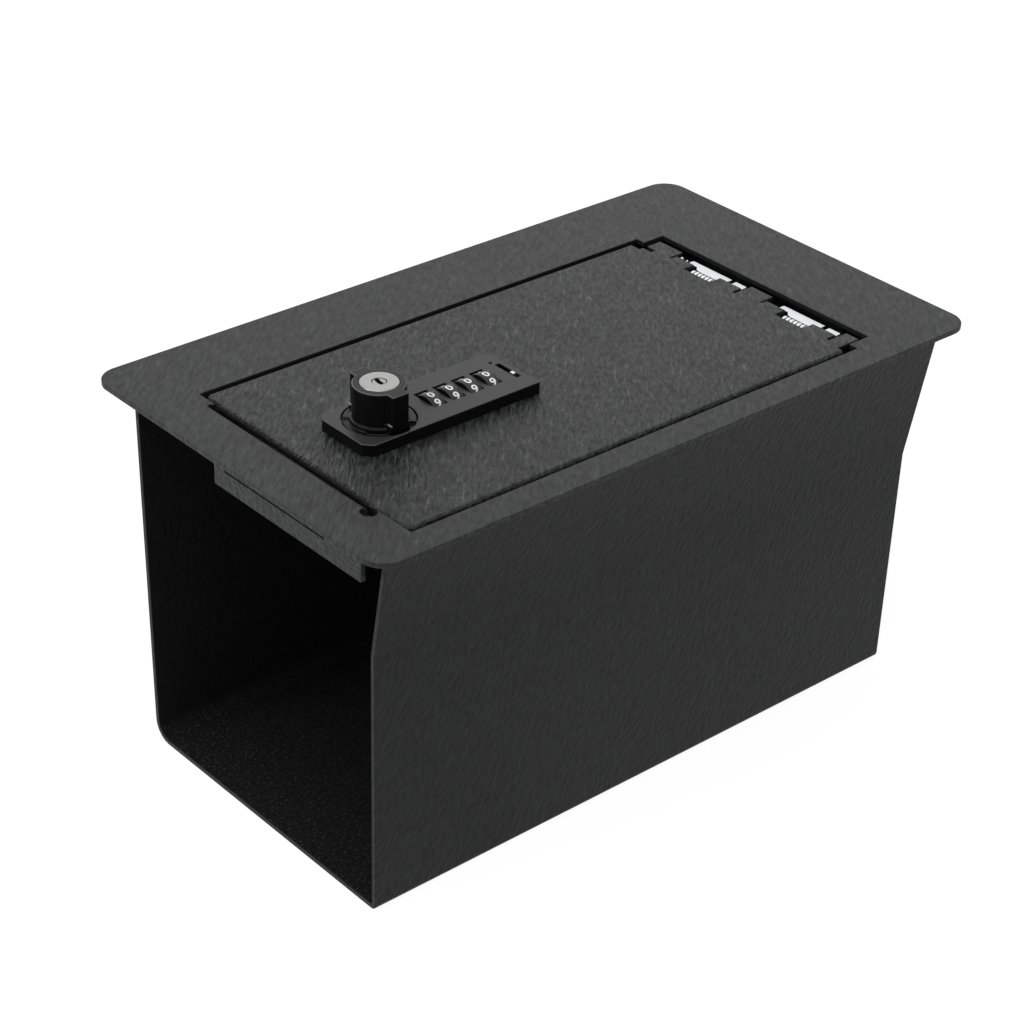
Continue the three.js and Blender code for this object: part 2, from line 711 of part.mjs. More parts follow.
// Lock plate: cast cover with a ring for the knob, four windows and the code-change slot
function lockPlate() {
  const near = lockCentre - lockWidth / 2;
  const far = lockCentre + lockWidth / 2;
  const outline = shapeOf([
    [lockFront + lockChamfer, near], [lockRear, near], [lockRear, far], [lockFront + lockChamfer, far],
    [lockFront, far - lockChamfer], [lockFront, near + lockChamfer],
  ]);
  let plate = slab(outline, 0, lockHeight);
  plate = plate.subtract(post(knobX, lockCentre, lockHeight - ringDepth, lockHeight + 1, ringRadius, 48));
  plate = plate.subtract(post(knobX, lockCentre, -1, lockHeight + 1, knobNeckRadius + fitGap, 32));
  const underRing = lockHeight - ringDepth - ringFloor;
  plate = plate.subtract(lockCutout(fitGap, -1, underRing));
  const underSkin = lockHeight - lockSkin;
  const half = wheelBlockWidth / 2 + fitGap;
  plate = plate.subtract(box(blockFront - fitGap, blockRear + fitGap, lockCentre - half, lockCentre + half,
    -1, underSkin));
  wheelPlaces.forEach((x) => {
    plate = plate.subtract(box(x - windowWidth / 2, x + windowWidth / 2, lockCentre - windowLength / 2,
      lockCentre + windowLength / 2, underSkin - 1, lockHeight + 1));
  });
  const slotX = lockRear - sliderSetback;
  plate = plate.subtract(box(slotX - slotWidth / 2, slotX + slotWidth / 2, lockCentre - slotNear,
    lockCentre + slotFar, underSkin - 1, lockHeight + 1));
  plate = plate.subtract(box(slotX - slotWidth / 2 - slotStep, slotX + slotWidth / 2 + slotStep,
    lockCentre - slotNear - 1, lockCentre + slotFar + 1, -1, underSkin));
  const pinholeY = lockCentre + slotFar + pinholeSpread;
  plate = plate.subtract(post(slotX - pinholeSetIn, pinholeY, underSkin - 3, lockHeight + 1,
    pinholeRadius, 10));
  lockScrewPlaces().forEach(([x, y]) => {
    plate = plate.subtract(post(x, y, -1, underSkin - 1.1, screwRadius + fitGap, 12));
  });
  return meshOf('lock_plate', plate, lockBlack);
}

// Lock body: barrel for the spindle and block for the wheels, hanging through the lid
function lockBody() {
  const underRing = lockHeight - ringDepth - 1.1 - fitGap;
  let body = post(knobX, lockCentre, -barrelDrop, underRing, barrelRadius, 36);
  const half = wheelBlockWidth / 2;
  body = body.add(box(knobX, blockFront + 1, lockCentre - half, lockCentre + half, blockBottom + 3, underRing));
  body = body.add(box(blockFront, blockRear, lockCentre - half, lockCentre + half, blockBottom,
    lockHeight - lockSkin - fitGap));
  body = body.subtract(post(knobX, lockCentre, -barrelDrop - 1, underRing + 1, spindleRadius + fitGap, 24));
  wheelPlaces.forEach((x) => {
    const slotHalf = windowWidth / 2 - 0.1;
    const round = wheelRadius + fitGap;
    body = body.subtract(rodAlongX(x - slotHalf, x + slotHalf, lockCentre, wheelAxisZ, round, 32));
    body = body.subtract(box(x - slotHalf, x + slotHalf, lockCentre - round, lockCentre + round,
      wheelAxisZ, lockHeight));
  });
  body = body.subtract(rodAlongX(blockFront + 2, blockRear + 1, lockCentre, wheelAxisZ,
    axleRadius + fitGap));
  return meshOf('lock_body', body, castGrey);
}

function wheelAxle() {
  return meshOf('wheel_axle', rodAlongX(blockFront + 2 + fitGap, blockRear - fitGap, lockCentre, wheelAxisZ,
    axleRadius), castGrey);
}

// Number wheel with a knurled rim on both sides of the band that carries the numbers
function numberWheel(x, index) {
  const halfWidth = wheelWidth / 2;
  const rim = 0.9;
  const bevel = 0.5;
  const profile = [
    [axleRadius + runGap, -halfWidth], [wheelRadius - bevel, -halfWidth], [wheelRadius, -halfWidth + bevel],
    [wheelRadius, halfWidth - bevel], [wheelRadius - bevel, halfWidth], [axleRadius + runGap, halfWidth],
  ].map(([r, a]) => new THREE.Vector2(r, a));
  profile.push(profile[0].clone());
  const geometry = new THREE.LatheGeometry(profile, 40);
  geometry.rotateZ(-Math.PI / 2);
  geometry.translate(x, lockCentre, wheelAxisZ);
  let wheel = solidOf(geometry);
  for (let i = 0; i < gripNotches; i += 1) {
    const angle = (2 * Math.PI * (i + 0.5)) / gripNotches;
    const notch = new THREE.BoxGeometry(rim + 1, 0.7, 2 * gripDepth);
    notch.translate(halfWidth + (1 - rim) / 2, 0, wheelRadius);
    notch.rotateX(angle);
    notch.translate(x, lockCentre, wheelAxisZ);
    wheel = wheel.subtract(solidOf(notch));
  }
  return meshOf(`number_wheel_${index + 1}`, wheel, wheelBlack);
}

// Slider that is pushed along its slot to set a new code
function codeSlider() {
  const x = lockRear - sliderSetback;
  const y = lockCentre + sliderStart;
  const half = sliderButton / 2;
  const stemHalf = slotWidth / 2 - fitGap;
  const underSkin = lockHeight - lockSkin;
  const stem = box(x - stemHalf, x + stemHalf, y - half, y + half, underSkin - 1, lockHeight + sliderRise);
  const foot = box(x - slotWidth / 2 - 0.4, x + slotWidth / 2 + 0.4, y - half - 0.6, y + half + 0.6,
    fitGap, underSkin - fitGap);
  return meshOf('code_change_slider', stem.add(foot), satinNickel);
}

function knobSector(radius, from, to, height) {
  const outline = new THREE.Shape();
  outline.moveTo(0, 0);
  outline.lineTo(radius * Math.cos(from), radius * Math.sin(from));
  outline.absarc(0, 0, radius, from, to, false);
  outline.lineTo(0, 0);
  return slab(outline, 0, height, 24);
}

// Knob: round boss with a finger bar across it, on a stepped flange that turns in the ring
function knob() {
  const base = lockHeight - ringDepth + fitGap;
  const flangeTop = base + knobFlangeThickness;
  const top = lockHeight + knobHeight;
  const edge = 0.5;
  const bossProfile = [[0, base], [knobBossRadius, base], [knobBossRadius, top - edge],
    [knobBossRadius - edge, top], [0, top]].map(([r, z]) => new THREE.Vector2(r, z));
  const bossGeometry = new THREE.LatheGeometry(bossProfile, 40);
  bossGeometry.rotateX(Math.PI / 2);
  bossGeometry.translate(knobX, lockCentre, 0);
  let body = solidOf(bossGeometry);
  const barOutline = roundedRectangle(-knobBarWidth / 2, knobBarWidth / 2, -knobBarLength / 2,
    knobBarLength / 2, 0.7);
  const barGeometry = new THREE.ExtrudeGeometry(barOutline, { depth: top - flangeTop - edge,
    bevelEnabled: true, bevelThickness: edge, bevelSize: edge, bevelOffset: -edge, bevelSegments: 1,
    curveSegments: 4 });
  barGeometry.translate(knobX, lockCentre, flangeTop);
  body = body.add(solidOf(barGeometry));
  body = body.add(post(knobX, lockCentre, base, flangeTop, ringRadius - fitGap - 0.5, 48));
  const footOutline = roundedRectangle(-knobFootWidth / 2, knobFootWidth / 2, -knobFootLength / 2,
    knobFootLength / 2, 0.8);
  const foot = slab(footOutline, base, lockHeight + knobFootHeight, 4);
  body = body.add(foot.translate([knobX, lockCentre, 0]));
  body = body.add(post(knobX, lockCentre, base, lockHeight + knobCollarHeight, knobCollarRadius, 40));
  const sectors = [[knobSectorNear, knobSectorFar, knobSectorRise],
    [knobSectorFar - 0.02, knobWindowEnd, knobWindowRise]];
  for (const [from, to, rise] of sectors) {
    const sector = knobSector(ringRadius - fitGap - 0.5, from * Math.PI, to * Math.PI, rise + 0.3);
    body = body.add(sector.translate([knobX, lockCentre, flangeTop - 0.3]));
  }
  body = body.add(post(knobX, lockCentre, lockHeight - ringDepth - 1, base + 1, knobNeckRadius, 32));
  body = body.subtract(post(knobX, lockCentre, top - keyDepth, top + 1, keyRadius + fitGap, 40));
  body = body.subtract(post(knobX, lockCentre, 0, base + 2.8, spindleRadius + fitGap, 24));
  return meshOf('knob', body, lockBlack);
}

// Key cylinder face, set in the knob
function keyCylinder() {
  const top = lockHeight + knobHeight + keyProud;
  const bottom = lockHeight + knobHeight - keyDepth + fitGap;
  const edge = 0.4;
  const profile = [[plugRadius + fitGap, bottom], [keyRadius, bottom], [keyRadius, top - edge],
    [keyRadius - edge, top], [plugRadius + fitGap, top], [plugRadius + fitGap, bottom]]
    .map(([r, z]) => new THREE.Vector2(r, z));
  const geometry = new THREE.LatheGeometry(profile, 40);
  geometry.rotateX(Math.PI / 2);
  geometry.translate(knobX, lockCentre, 0);
  return meshOf('key_cylinder', solidOf(geometry), satinNickel);
}

// Key plug with its keyhole, which turns inside the cylinder
function keyPlug() {
  const top = lockHeight + knobHeight + keyProud - plugSetback;
  const bottom = lockHeight + knobHeight - keyDepth + fitGap;
  const keyhole = box(knobX - keyholeWidth / 2, knobX + keyholeWidth / 2, lockCentre - keyholeLength / 2,
    lockCentre + keyholeLength / 2, top - keyDepth + 3, top + 1);
  const plug = post(knobX, lockCentre, bottom, top, plugRadius, 24).subtract(keyhole);
  return meshOf('key_plug', plug, satinNickel);
}

// Spindle: round in the lock body, square in the latch
function spindle() {
  const top = lockHeight - ringDepth + 2.8;
  const half = spindleSquare / 2;
  let body = post(knobX, lockCentre, latchTop + fitGap, top, spindleRadius, 24);
  body = body.add(box(knobX - half, knobX + half, lockCentre - half, lockCentre + half,
    latchBottom, latchTop + 1));
  body = body.subtract(post(knobX, lockCentre, latchBottom - 1, latchTop + 4, screwRadius + fitGap, 12));
  return meshOf('spindle', body, castGrey);
}

function latchWasher() {
  const washer = post(knobX, lockCentre, latchTop, -barrelDrop - fitGap, latchWasherRadius, 24);
  const bore = post(knobX, lockCentre, latchTop - 1, 0, spindleRadius + fitGap, 24);
  return meshOf('latch_washer', washer.subtract(bore), zinc);
}

// Latch: flat bar on the spindle, drawn back beside the lip; a quarter turn puts its tip under the lip
function latch() {
  const half = latchWidth / 2;
  const shape = new THREE.Shape();
  shape.moveTo(half, 0);
  shape.lineTo(half, latchLength - latchTipLength);
  shape.lineTo(half - latchTipCut, latchLength);
  shape.lineTo(-half + latchTipCut, latchLength);
  shape.lineTo(-half, latchLength - latchTipLength);
  shape.lineTo(-half, 0);
  shape.absarc(0, 0, half, Math.PI, 2 * Math.PI, false);
  let bar = slab(shape, latchBottom, latchTop - fitGap, 12).translate([knobX, lockCentre, 0]);
  const hole = spindleSquare / 2 + fitGap;
  bar = bar.subtract(box(knobX - hole, knobX + hole, lockCentre - hole, lockCentre + hole,
    latchBottom - 1, latchTop + 1));
  return meshOf('latch', bar, zinc);
}

function latchScrew() {
  const head = latchBottom - fitGap;
  const headBottom = head - latchScrewHeadHeight;
  let screw = post(knobX, lockCentre, headBottom, head, latchScrewHeadRadius, 24);
  screw = screw.add(post(knobX, lockCentre, head - 1, latchTop + 3, screwRadius, 12));
  const hexagon = shapeOf(hexPoints(knobX, lockCentre, latchScrewHexagon));
  const recess = slab(hexagon, headBottom - 1, headBottom + latchScrewHeadHeight / 2);
  return meshOf('latch_screw', screw.subtract(recess), zinc);
}

function lockScrews() {
  return lockScrewPlaces().map(([x, y], i) => {
    const head = post(x, y, -sheet - screwHeadHeight, -sheet, screwHeadRadius, 18);
    const shank = post(x, y, -sheet - 1, lockHeight - lockSkin - 1.5, screwRadius, 12);
    const headBottom = -sheet - screwHeadHeight;
    const hexagon = shapeOf(hexPoints(x, y, screwHexagon));
    const recess = slab(hexagon, headBottom - 1, headBottom + screwHexagonDepth);
    return meshOf(`lock_screw_${i + 1}`, head.add(shank).subtract(recess), zinc);
  });
}

const assembly = new THREE.Group();
assembly.position.set(-plateLength / 2, 0, boxHeight);
assembly.add(bodyShell(), rearWall(), topPlate(), lid());
hingePlaces.forEach((y, i) => assembly.add(...hinge(y, `hinge_${i + 1}`)));
assembly.add(lockPlate(), lockBody(), wheelAxle(), codeSlider());
wheelPlaces.forEach((x, i) => assembly.add(numberWheel(x, i)));
assembly.add(knob(), keyCylinder(), keyPlug(), spindle(), latchWasher(), latch(), latchScrew());
assembly.add(...lockScrews());

const consoleSafe = new THREE.Group();
consoleSafe.name = 'console_safe';
consoleSafe.add(assembly);

export default consoleSafe;
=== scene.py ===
import math

import bmesh
import bpy
from mathutils import Matrix, Vector


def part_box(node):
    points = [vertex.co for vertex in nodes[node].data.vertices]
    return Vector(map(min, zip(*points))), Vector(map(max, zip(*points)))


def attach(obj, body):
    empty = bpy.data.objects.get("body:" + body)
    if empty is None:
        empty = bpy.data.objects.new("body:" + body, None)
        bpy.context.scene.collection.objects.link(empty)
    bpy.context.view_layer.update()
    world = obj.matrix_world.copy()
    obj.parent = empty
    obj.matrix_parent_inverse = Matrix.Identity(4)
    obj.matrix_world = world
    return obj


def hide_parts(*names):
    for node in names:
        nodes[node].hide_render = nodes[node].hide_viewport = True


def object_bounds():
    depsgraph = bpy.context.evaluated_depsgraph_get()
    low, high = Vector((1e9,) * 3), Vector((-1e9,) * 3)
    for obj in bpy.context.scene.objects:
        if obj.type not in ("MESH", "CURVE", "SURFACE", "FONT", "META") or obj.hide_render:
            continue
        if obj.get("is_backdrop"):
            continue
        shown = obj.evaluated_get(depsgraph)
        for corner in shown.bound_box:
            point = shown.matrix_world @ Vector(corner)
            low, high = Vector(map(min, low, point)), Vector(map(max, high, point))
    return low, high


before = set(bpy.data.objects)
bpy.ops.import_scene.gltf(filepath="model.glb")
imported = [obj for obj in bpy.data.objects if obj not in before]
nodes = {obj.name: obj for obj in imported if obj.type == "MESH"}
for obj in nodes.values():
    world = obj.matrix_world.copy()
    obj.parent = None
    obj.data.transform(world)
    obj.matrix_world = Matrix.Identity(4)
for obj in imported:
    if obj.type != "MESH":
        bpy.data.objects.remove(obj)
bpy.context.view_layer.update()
print("frame loaded,", len(nodes), "nodes")

mm = 0.001


def toLinear(hexColour):
    channels = [int(hexColour[i:i + 2], 16) / 255 for i in (1, 3, 5)]
    return [c / 12.92 if c <= 0.04045 else ((c + 0.055) / 1.055) ** 2.4 for c in channels] + [1]


def addNode(tree, kind, inputs=None, **settings):
    node = tree.nodes.new(kind)
    for key, value in settings.items():
        setattr(node, key, value)
    for key, value in (inputs or {}).items():
        if isinstance(value, bpy.types.NodeSocket):
            tree.links.new(value, node.inputs[key])
        else:
            node.inputs[key].default_value = value
    return node


def newMaterial(name, **values):
    made = bpy.data.materials.new(name)
    made.use_nodes = True
    shader = made.node_tree.nodes["Principled BSDF"]
    for key, value in values.items():
        shader.inputs[key.replace("_", " ")].default_value = value
    return made, made.node_tree, shader


def putInScene(name, data):
    thing = bpy.data.objects.new(name, data)
    bpy.context.scene.collection.objects.link(thing)
    return thing


def newPiece(name, made, materials):
    bmesh.ops.recalc_face_normals(made, faces=made.faces[:])
    mesh = bpy.data.meshes.new(name)
    made.to_mesh(mesh)
    for material in materials:
        mesh.materials.append(material)
    return putInScene(name, mesh)


# Where the photograph was taken from: metres, with the lens in mm.
cameraSpot = {
    "place": (-0.7311, -0.8154, 0.7474),
    "forward": (0.5664, 0.6460, -0.5117),
    "right": (0.7606, -0.6489, 0.0227),
    "lens": 94.76,
    "sensor": 36,
    "nearest": 0.01,
}
cameraData = bpy.data.cameras.new("camera")
camera = putInScene("camera", cameraData)
right = Vector(cameraSpot["right"]).normalized()
forward = Vector(cameraSpot["forward"]).normalized()
up = right.cross(forward).normalized()
forward = up.cross(right)
camera.matrix_world = Matrix.Translation(Vector(cameraSpot["place"])) @ Matrix(
    (right, up, -forward)).transposed().to_4x4()
cameraData.lens = cameraSpot["lens"]
cameraData.sensor_width = cameraSpot["sensor"]
cameraData.clip_start = cameraSpot["nearest"]
bpy.context.scene.camera = camera
print("camera placed")

# Powder coat: black polyester sprayed on pressed steel and baked until it wrinkles. The skin is matt and
# pebbled, so it breaks the sheen into small light and dark dashes, which its tone also paints in as painted
# shade and painted light; the lid's coat has the deepest wrinkles.
powderCoat = {
    "ior": 1.5,
    "dark": "#080809",           # painted shade in the valleys between wrinkles
    "roughness": 0.46,
    "fine": 1.2,                 # mm, the skin between the wrinkles, drawn coarser than the real 0.2 mm
    "fineShare": 0.12,           # of the fine skin in the height
    "mottle": 9.0,               # mm, slow change of tone from the spraying
    "mottleShare": 0.35,         # of the mottle in the tone
    "middle": 0.675,             # level of wrinkle and mottle that is halfway from dark to light
    "bumpGain": 6,               # soft noise is flatter than real wrinkles, so it is drawn higher
    "glintColour": "#6e6f70",          # painted highlight on the tallest pebbles, where the sheen would catch
    "glintScale": 0.7,           # against the grain's, so that each painted highlight spans more than one wrinkle
    "glintLevels": (0.58, 0.8),  # where the painted highlights begin, and where they are full
    "glintMost": 0.9,
    "shadeRoughness": 0.75,       # roughness where the shade is painted
    "insideShade": 0.68,            # how much painted shade lies inside the box
    "floorGlint": "#505152",           # painted glints on the box's floor by the mouth
    "floorGlintLevels": (0.56, 0.75),
    "underside": -0.5,           # faces that point further down than this keep the full coat, without the painted shade at the edges
}
# light and the colour after it: the full coat, and the painted shade inside the box and on the edges. grain:
# mm
# between wrinkles, about 1 on the real coat and drawn coarser so that they show. run: the way they run.
# stretch:
# how many times longer than wide. relief: their height in mm. spread: softness of the change in tone.
coats = {
    "wrinklePowderCoatOnLid": {
        "light": "#333435", "shadeColour": "#040404", "specular": 0.2,
        "grain": 1.4, "run": (0.65, 0.72, 0.05), "stretch": 4.2, "relief": 0.12, "spread": 0.2,
        "shadeBox": ((-150, -84, 160), (125, 60, 181.7)),    # mm, two corners of a box that holds the edges painted with shade
        "ragged": 1.6,                                   # mm, how uneven its border is
        "shadeFringe": {                                      # painted shade in strokes on top, along the front edge, in mm
            "end": -146.4, "ragged": 3.6,    # where they end, and by how much that varies
            "hair": 0.8, "alongScale": 0.3,  # across a stroke, and the pattern's scale along it
            "beyond": -60,                   # they start at this y
            "levels": (0.3, 0.7)},           # of the noise, from the shortest stroke to the longest
    },
    "finePowderCoatOnPlate": {
        "light": "#333435", "shadeColour": "#0b0b0c", "specular": 0.2,
        "grain": 1.8, "run": (0.65, 0.72, 0.05), "stretch": 4.2, "relief": 0.09, "spread": 0.34,
        "shadeBox": ((-149.8, -89.4, 160), (127.5, 60.8, 182.1)),
        "ragged": 0.3,
    },
    "finePowderCoatOnBox": {
        "light": "#28292a", "shadeColour": "#080809", "specular": 0.15,
        "grain": 2.2, "run": (0.4, 0.2, 0.89), "stretch": 2.0, "relief": 0.05, "spread": 0.45,
        "hollow": (0, -8, 90),     # mm, a point inside; faces that look at it get the painted shade
        "floorGlints": (-150, -40),     # mm, the painted glints fade from the mouth to here
    },
}


# Inside the box: faces that look at the hollow get painted shade, and painted glints lie on the floor by the
# mouth.
def thinInside(tree, coat, spots, fine):
    place, normal = spots.outputs["Object"], spots.outputs["Normal"]
    outward = addNode(tree, "ShaderNodeVectorMath", {0: place, 1: [c * mm for c in coat["hollow"]]},
                      operation="SUBTRACT")
    facing = addNode(tree, "ShaderNodeVectorMath", {0: outward.outputs[0], 1: normal},
                     operation="DOT_PRODUCT")
    inside = addNode(tree, "ShaderNodeMath", {0: facing.outputs["Value"], 1: 0.0}, operation="LESS_THAN")
    share = addNode(tree, "ShaderNodeMath", {0: inside.outputs[0], 1: powderCoat["insideShade"]},
                    operation="MULTIPLY")
    # Painted glints on the floor by the mouth, fading deeper in.
    upward = addNode(tree, "ShaderNodeVectorMath", {0: normal, 1: (0, 0, 1)}, operation="DOT_PRODUCT")
    begins, full = powderCoat["floorGlintLevels"]
    floorGlints = addNode(tree, "ShaderNodeMapRange", {
        "Value": fine.outputs["Fac"], "From Min": begins, "From Max": full})
    mouth, deep = coat["floorGlints"]
    depth = addNode(tree, "ShaderNodeSeparateXYZ", {"Vector": place})
    fading = addNode(tree, "ShaderNodeMapRange", {
        "Value": depth.outputs["X"], "From Min": mouth * mm, "From Max": deep * mm,
        "To Min": 1.0, "To Max": 0.0})
    flat = addNode(tree, "ShaderNodeMath", {0: upward.outputs["Value"], 1: fading.outputs[0]},
                   operation="MULTIPLY", use_clamp=True)
    floorGlintShare = addNode(tree, "ShaderNodeMath", {0: floorGlints.outputs[0], 1: flat.outputs[0]},
                      operation="MULTIPLY")
    shadeColour = addNode(tree, "ShaderNodeMix", {
        "Factor": floorGlintShare.outputs[0], "A": toLinear(coat["shadeColour"]), "B": toLinear(powderCoat["floorGlint"])},
        data_type="RGBA")
    return share.outputs[0], shadeColour.outputs[2]


# On top of the lid: painted shade in short strokes that run in from its front edge.
def dryStrokes(tree, shadeFringe, place):
    hairs = addNode(tree, "ShaderNodeMapping", {
        "Vector": place, "Scale": (shadeFringe["alongScale"], 1, shadeFringe["alongScale"])})
    strokes = addNode(tree, "ShaderNodeTexNoise", {
        "Vector": hairs.outputs[0], "Scale": 1 / (shadeFringe["hair"] * mm), "Detail": 2.0})
    spot = addNode(tree, "ShaderNodeSeparateXYZ", {"Vector": place})
    shortest, longest = shadeFringe["levels"]
    end = addNode(tree, "ShaderNodeMapRange", {
        "Value": strokes.outputs["Fac"], "From Min": shortest, "From Max": longest,
        "To Min": (shadeFringe["end"] - shadeFringe["ragged"] / 2) * mm,
        "To Max": (shadeFringe["end"] + shadeFringe["ragged"] / 2) * mm})
    before = addNode(tree, "ShaderNodeMath", {0: spot.outputs["X"], 1: end.outputs[0]},
                     operation="LESS_THAN")
    beyond = addNode(tree, "ShaderNodeMath", {0: spot.outputs["Y"], 1: shadeFringe["beyond"] * mm},
                     operation="GREATER_THAN")
    both = addNode(tree, "ShaderNodeMath", {0: before.outputs[0], 1: beyond.outputs[0]},
                   operation="MULTIPLY")
    return both.outputs[0]


# On the lid and the plate: painted shade on the edges and in the gaps below the top face.
def thinAtEdges(tree, coat, spots, fine):
    place = spots.outputs["Object"]
    low, high = coat["shadeBox"]
    ragging = addNode(tree, "ShaderNodeVectorMath", {0: fine.outputs["Color"], 1: (0.5, 0.5, 0.5)},
                      operation="SUBTRACT")
    moved = addNode(tree, "ShaderNodeVectorMath", {
        0: ragging.outputs[0], 1: (0, 0, 2 * coat["ragged"] * mm), 2: place}, operation="MULTIPLY_ADD")
    spot = addNode(tree, "ShaderNodeSeparateXYZ", {"Vector": moved.outputs[0]})
    share = 1.0
    for axis in range(3):
        middle, reach = (low[axis] + high[axis]) / 2 * mm, (high[axis] - low[axis]) / 2 * mm
        within = addNode(tree, "ShaderNodeMath", {0: spot.outputs[axis], 1: middle, 2: reach},
                         operation="COMPARE")
        product = addNode(tree, "ShaderNodeMath", {0: within.outputs[0], 1: share}, operation="MULTIPLY")
        share = product.outputs[0]
    if "shadeFringe" in coat:
        strokes = dryStrokes(tree, coat["shadeFringe"], place)
        share = addNode(tree, "ShaderNodeMath", {0: share, 1: strokes}, operation="MAXIMUM").outputs[0]
    upward = addNode(tree, "ShaderNodeVectorMath", {0: spots.outputs["Normal"], 1: (0, 0, 1)},
                     operation="DOT_PRODUCT")
    outer = addNode(tree, "ShaderNodeMath", {0: upward.outputs["Value"], 1: powderCoat["underside"]},
                    operation="GREATER_THAN")
    share = addNode(tree, "ShaderNodeMath", {0: share, 1: outer.outputs[0]}, operation="MULTIPLY").outputs[0]
    return share, toLinear(coat["shadeColour"])


def coatMaterial(name):
    coat = coats[name]
    made, tree, shader = newMaterial(name, IOR=powderCoat["ior"], Roughness=powderCoat["roughness"],
                                     Specular_IOR_Level=coat["specular"])
    spots = addNode(tree, "ShaderNodeTexCoord")
    place = spots.outputs["Object"]
    run = Vector(coat["run"]).to_track_quat("X", "Z").to_euler()
    drawn = addNode(tree, "ShaderNodeMapping", {
        "Vector": place, "Rotation": run, "Scale": (coat["stretch"], 1, 1)}, vector_type="TEXTURE")
    grain = addNode(tree, "ShaderNodeTexNoise", {
        "Vector": drawn.outputs[0], "Scale": 1 / (coat["grain"] * mm), "Detail": 1.0, "Roughness": 0.5})
    fine = addNode(tree, "ShaderNodeTexNoise", {
        "Vector": place, "Scale": 1 / (powderCoat["fine"] * mm), "Detail": 2.0})
    mottle = addNode(tree, "ShaderNodeTexNoise", {
        "Vector": place, "Scale": 1 / (powderCoat["mottle"] * mm), "Detail": 3.0})
    height = addNode(tree, "ShaderNodeMath", {
        0: fine.outputs["Fac"], 1: powderCoat["fineShare"], 2: grain.outputs["Fac"]},
        operation="MULTIPLY_ADD")
    bump = addNode(tree, "ShaderNodeBump", {
        "Height": height.outputs[0], "Strength": 1.0,
        "Distance": powderCoat["bumpGain"] * coat["relief"] * mm})
    tree.links.new(bump.outputs["Normal"], shader.inputs["Normal"])
    # The tone follows the same wrinkles as the bump: painted shade in the valleys and painted light on the
    # crests, with the mottle's random tone over it.
    lit = addNode(tree, "ShaderNodeMath", {
        0: mottle.outputs["Fac"], 1: powderCoat["mottleShare"], 2: grain.outputs["Fac"]},
        operation="MULTIPLY_ADD")
    ramp = addNode(tree, "ShaderNodeMapRange", {
        "Value": lit.outputs[0], "From Min": powderCoat["middle"] - coat["spread"],
        "From Max": powderCoat["middle"] + coat["spread"]})
    tone = addNode(tree, "ShaderNodeMix", {
        "Factor": ramp.outputs["Result"], "A": toLinear(powderCoat["dark"]), "B": toLinear(coat["light"])},
        data_type="RGBA")
    # Painted highlights on the tallest pebbles.
    glintNoise = addNode(tree, "ShaderNodeTexNoise", {
        "Vector": drawn.outputs[0], "Scale": powderCoat["glintScale"] / (coat["grain"] * mm), "Detail": 2.0})
    begins, full = powderCoat["glintLevels"]
    glintShare = addNode(tree, "ShaderNodeMapRange", {
        "Value": glintNoise.outputs["Fac"], "From Min": begins, "From Max": full,
        "To Max": powderCoat["glintMost"] - 2 * coat["spread"]})
    withGlints = addNode(tree, "ShaderNodeMix", {
        "Factor": glintShare.outputs["Result"], "A": tone.outputs[2], "B": toLinear(powderCoat["glintColour"])},
        data_type="RGBA")
    # Painted shade, inside the box or on the lid's and plate's edges, with its own roughness.
    paintShade = thinInside if "hollow" in coat else thinAtEdges
    share, shadeColour = paintShade(tree, coat, spots, fine)
    covered = addNode(tree, "ShaderNodeMix", {"Factor": share, "A": withGlints.outputs[2], "B": shadeColour},
                      data_type="RGBA")
    tree.links.new(covered.outputs[2], shader.inputs["Base Color"])
    dull = addNode(tree, "ShaderNodeMapRange", {
        "Value": share, "To Min": powderCoat["roughness"], "To Max": powderCoat["shadeRoughness"]})
    tree.links.new(dull.outputs["Result"], shader.inputs["Roughness"])
    return made


lidCoat, plateCoat, boxCoat = (coatMaterial(name) for name in coats)

# Paint and moulded plastic: smooth and dark, with a faint peel. grain: mm across the peel.
smoothSkin = {
    "ior": 1.5,
    "peelStrength": 0.08,
    "peelDepth": 0.1,          # mm
    "topSheenLevels": (0.3, 0.9),  # how far a face looks up where the painted sheen begins, and where it is full
    "cornerTurn": 0.68,        # how far the corners with the painted highlight look up, and the range to each side
    "cornerRange": 0.26,
}
skins = {
    # Satin black paint on die-cast zinc: faces that look up are painted paler as painted sheen, and the
    # corners on one side get a painted highlight. The side is given as the axis, its place in mm, and whether
    # the highlight lies above it.
    "satinBlackPaintOnZincCasting": {
        "colour": "#060607", "roughness": 0.34, "grain": 0.5, "specular": 0.16,
        "topSheen": "#373738", "edgeHighlight": "#5c5c5d", "edgeHighlightSide": ("X", -104, False)},
    "satinBlackPaintOnKnobCasting": {
        "colour": "#060607", "roughness": 0.32, "grain": 0.5, "specular": 0.14,
        "topSheen": "#131314", "edgeHighlight": "#5c5c5d", "edgeHighlightSide": ("Z", 203.5, True)},
    # The small ledges beside the knob: pale grey, as painted glints.
    "ledgeGlintGrey": {"colour": "#8f9091", "roughness": 0.45, "grain": 0.5, "specular": 0.3},
    # Painted shade in the keyway: a black sheet with no shine, laid on the plug's face.
    "keywayPaintedShade": {"colour": "#020202", "roughness": 0.9, "grain": 0.3, "specular": 0.02},
    # Nylon wheels, moulded: dull, with the flanks painted darker than the tread as painted shade.
    "mouldedNylonTread": {"colour": "#303031", "roughness": 0.42, "grain": 0.4, "specular": 0.25},
    "nylonFlankPaintedShade": {"colour": "#060607", "roughness": 0.5, "grain": 0.4, "specular": 0.1},
}


